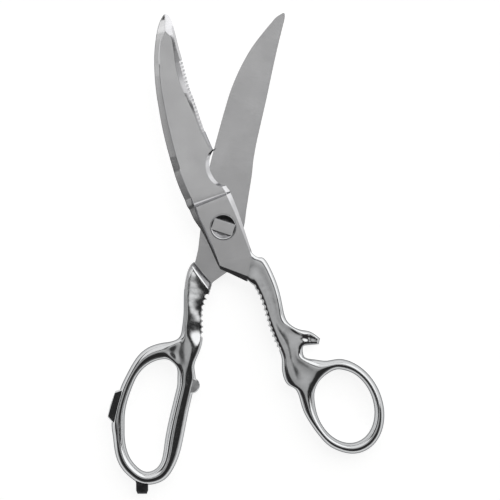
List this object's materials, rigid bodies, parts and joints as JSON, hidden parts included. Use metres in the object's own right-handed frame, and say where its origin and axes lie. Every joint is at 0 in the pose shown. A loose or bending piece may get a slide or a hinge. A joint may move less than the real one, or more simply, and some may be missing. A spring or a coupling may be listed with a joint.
{
  "type": "poultry shears",
  "caption": "Forged poultry shears with curved blades, bone notch, grip teeth, cap lifter, lid prise, screwdriver tip and one pivot.",
  "frame": {"origin": "on the pivot axis, in the plane that the shears lie on, at the back face of the pivot nut", "axes": "+Z along the pivot axis, out of the front face; +Y from the handles to the blade tips; +X to the thumb bow"},
  "size_m": [0.119, 0.2068, 0.0084],
  "materials": {
    "plated_forging": "bright nickel-chrome plate on the handles, satin-ground blades",
    "pivot_steel": "turned and polished",
    "spring_steel": "dull spring steel"
  },
  "bodies": {
    "rear": {"rear_half": "plated_forging", "pivot_bolt": "pivot_steel", "spring_washer": "spring_steel", "pivot_nut": "pivot_steel"},
    "front": {"front_half": "plated_forging"}
  },
  "joints": [
    {"name": "pivot", "type": "hinge", "parent": "rear", "child": "front", "pos_m": [0, 0, 0.0042], "axis": [0, 0, 1], "range_deg": [-30, 75]}
  ]
}
